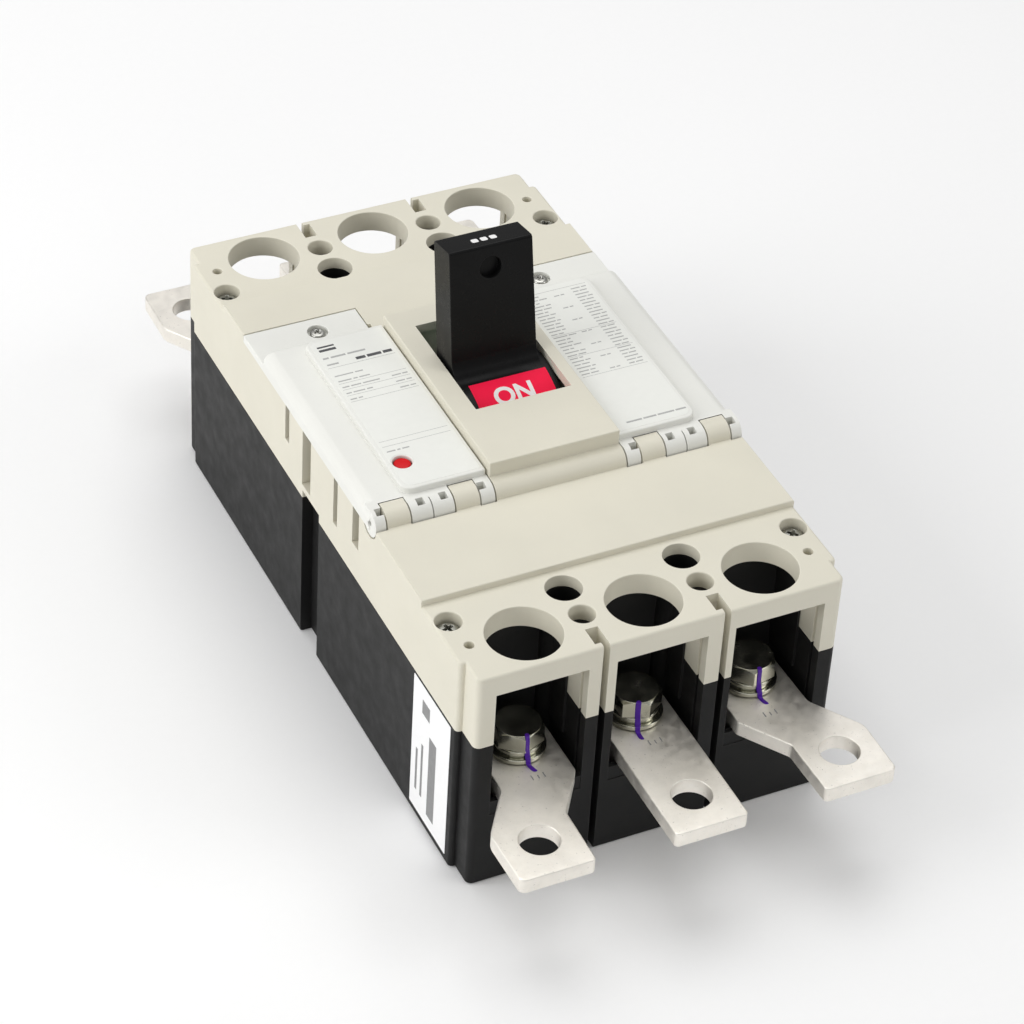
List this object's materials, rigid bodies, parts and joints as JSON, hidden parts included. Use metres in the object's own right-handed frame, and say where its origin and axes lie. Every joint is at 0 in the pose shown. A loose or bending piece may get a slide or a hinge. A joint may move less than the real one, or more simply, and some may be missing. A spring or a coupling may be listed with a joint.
{
  "type": "molded case circuit breaker",
  "caption": "Three-pole molded case breaker: black base, ivory cover, two hinged lids, toggle handle, trip button, jogged terminal bars and a working inner mechanism.",
  "frame": {"origin": "centre of the mounting face, on the breaker's mid-width and mid-length", "axes": "+X across the poles to the right, +Y to the line terminals, +Z out of the front face"},
  "size_m": [0.1406, 0.3428, 0.1517],
  "materials": {
    "base_black": "satin",
    "cover_ivory": "satin",
    "lid_white": "satin",
    "grip_black": "satin",
    "button_red": "gloss",
    "zinc_steel": "bright zinc",
    "mechanism_steel": "plain",
    "spring_steel": "plain",
    "tin_plate": "matt tin plate on copper",
    "copper": "bare copper",
    "crossbar_moulding": "plain",
    "chute_steel": "plain"
  },
  "bodies": {
    "case": {"base": "base_black", "cover": "cover_ivory", "trip_button_spring": "spring_steel", "hinge_pin_left": "zinc_steel", "hinge_pin_right": "zinc_steel", "cover_screw_near_left": "zinc_steel", "cover_screw_near_right": "zinc_steel", "cover_screw_far_left": "zinc_steel", "cover_screw_far_right": "zinc_steel", "mechanism_plate_left": "mechanism_steel", "mechanism_plate_right": "mechanism_steel", "braid_left": "copper", "line_conductor_left": "tin_plate", "load_conductor_left": "tin_plate", "bimetal_left": "zinc_steel", "magnet_yoke_left": "mechanism_steel", "arc_chute_left": "chute_steel", "terminal_bar_load_left": "tin_plate", "terminal_bolt_load_left": "zinc_steel", "terminal_bar_line_left": "tin_plate", "terminal_bolt_line_left": "zinc_steel", "braid_centre": "copper", "line_conductor_centre": "tin_plate", "load_conductor_centre": "tin_plate", "bimetal_centre": "zinc_steel", "magnet_yoke_centre": "mechanism_steel", "arc_chute_centre": "chute_steel", "terminal_bar_load_centre": "tin_plate", "terminal_bolt_load_centre": "zinc_steel", "terminal_bar_line_centre": "tin_plate", "terminal_bolt_line_centre": "zinc_steel", "braid_right": "copper", "line_conductor_right": "tin_plate", "load_conductor_right": "tin_plate", "bimetal_right": "zinc_steel", "magnet_yoke_right": "mechanism_steel", "arc_chute_right": "chute_steel", "terminal_bar_load_right": "tin_plate", "terminal_bolt_load_right": "zinc_steel", "terminal_bar_line_right": "tin_plate", "terminal_bolt_line_right": "zinc_steel"},
    "handle_set": {"handle": "grip_black", "handle_arm": "mechanism_steel", "main_spring_left": "spring_steel", "main_spring_right": "spring_steel"},
    "contact_set": {"crossbar": "crossbar_moulding", "moving_contact_left": "copper", "moving_contact_centre": "copper", "moving_contact_right": "copper"},
    "cradle_set": {"cradle": "mechanism_steel"},
    "upper_link_set": {"upper_link": "mechanism_steel", "toggle_pin": "zinc_steel"},
    "lower_link_set": {"lower_link": "mechanism_steel"},
    "latch_set": {"latch": "mechanism_steel"},
    "trip_bar_set": {"trip_bar": "crossbar_moulding"},
    "button_set": {"trip_button": "button_red"},
    "left_lid_set": {"lid_left": "lid_white", "lid_screw_left": "zinc_steel"},
    "right_lid_set": {"lid_right": "lid_white", "lid_screw_right": "zinc_steel"}
  },
  "joints": [
    {"name": "handle_throw", "type": "hinge", "parent": "case", "child": "handle_set", "pos_m": [0, 0.007, 0.07], "axis": [-1, 0, 0], "range_deg": [-30, 19]},
    {"name": "crossbar_turn", "type": "hinge", "parent": "case", "child": "contact_set", "pos_m": [0, -0.012, 0.03], "axis": [1, 0, 0], "range_deg": [-9.5, 15]},
    {"name": "cradle_turn", "type": "hinge", "parent": "case", "child": "cradle_set", "pos_m": [0, 0.03, 0.062], "axis": [1, 0, 0], "range_deg": [0, 4]},
    {"name": "upper_link_turn", "type": "hinge", "parent": "cradle_set", "child": "upper_link_set", "pos_m": [0, -0.006, 0.074], "axis": [1, 0, 0], "range_deg": [-3.99, 2.53]},
    {"name": "lower_link_turn", "type": "hinge", "parent": "upper_link_set", "child": "lower_link_set", "pos_m": [0, 0.003, 0.053], "axis": [1, 0, 0], "range_deg": [-4.74, 3.01]},
    {"name": "trip_button_push", "type": "slide", "parent": "case", "child": "button_set", "axis": [0, 0, -1], "range_m": [0, 0.003], "stiffness_N_per_m": 400, "deforming": ["trip_button_spring"]},
    {"name": "trip_bar_turn", "type": "hinge", "parent": "case", "child": "trip_bar_set", "pos_m": [0, -0.061, 0.076], "axis": [-1, 0, 0], "range_deg": [0, 12.1]},
    {"name": "latch_turn", "type": "hinge", "parent": "case", "child": "latch_set", "pos_m": [0, -0.026, 0.044], "axis": [1, 0, 0], "range_deg": [0, 8.1]},
    {"name": "left_lid_hinge", "type": "hinge", "parent": "case", "child": "left_lid_set", "pos_m": [-0.0475, -0.045, 0.096], "axis": [1, 0, 0], "range_deg": [0, 110]},
    {"name": "right_lid_hinge", "type": "hinge", "parent": "case", "child": "right_lid_set", "pos_m": [0.0475, -0.045, 0.096], "axis": [1, 0, 0], "range_deg": [0, 110]}
  ],
  "couplings": [
    {"joint": "crossbar_turn", "follows": "handle_throw", "ratio": -0.5},
    {"joint": "upper_link_turn", "follows": "handle_throw", "ratio": 0.133},
    {"joint": "lower_link_turn", "follows": "handle_throw", "ratio": 0.158},
    {"joint": "trip_bar_turn", "follows": "trip_button_push", "rad_per_m": 70},
    {"joint": "latch_turn", "follows": "trip_button_push", "rad_per_m": 46.5}
  ]
}
